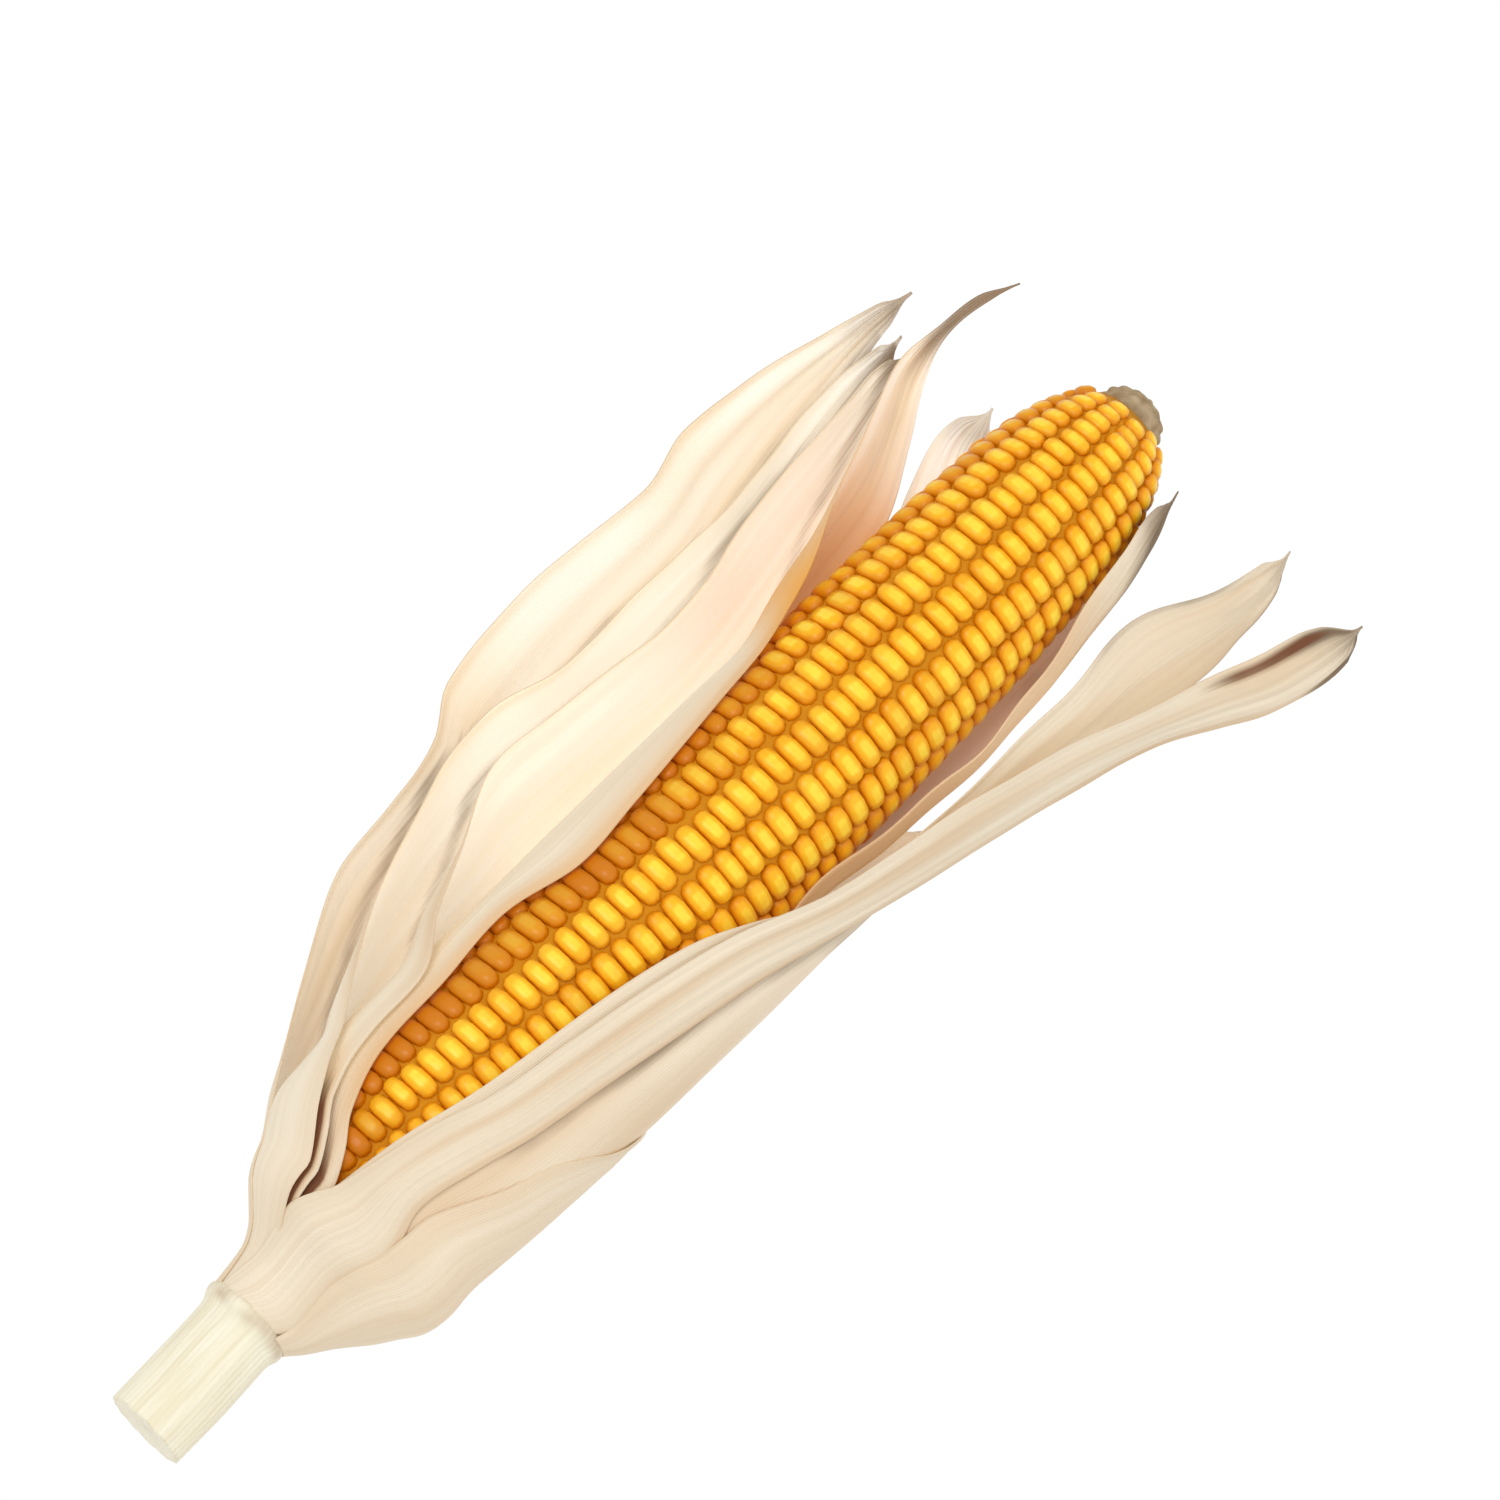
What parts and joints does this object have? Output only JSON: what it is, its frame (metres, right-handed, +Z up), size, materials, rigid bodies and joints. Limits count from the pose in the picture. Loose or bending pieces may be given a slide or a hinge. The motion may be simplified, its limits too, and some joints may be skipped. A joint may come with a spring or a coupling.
{
  "type": "ear of maize",
  "caption": "Dried ear of maize lying on its side: rows of orange-yellow kernels, a bare cob tip, a short stalk, and a dry cream husk peeled back from the front.",
  "frame": {"origin": "on the surface the ear lies on, under the middle of the box round the whole part", "axes": "+X along the ear from the stalk to the bare tip, +Y to the ear's left as seen from the stalk, +Z up"},
  "size_m": [0.2862, 0.1286, 0.0465],
  "materials": {
    "kernel": null,
    "cob": null,
    "stalk": null,
    "husk": null
  },
  "bodies": {
    "root": {"kernels": "kernel", "cob": "cob", "stalk": "stalk", "husk_left_inner": "husk", "husk_left_fold": "husk", "husk_left_middle": "husk", "husk_left_outer": "husk", "husk_under": "husk", "husk_right_inner": "husk", "husk_right_middle": "husk", "husk_right_outer": "husk", "husk_front": "husk", "husk_foot": "husk"}
  },
  "joints": []
}
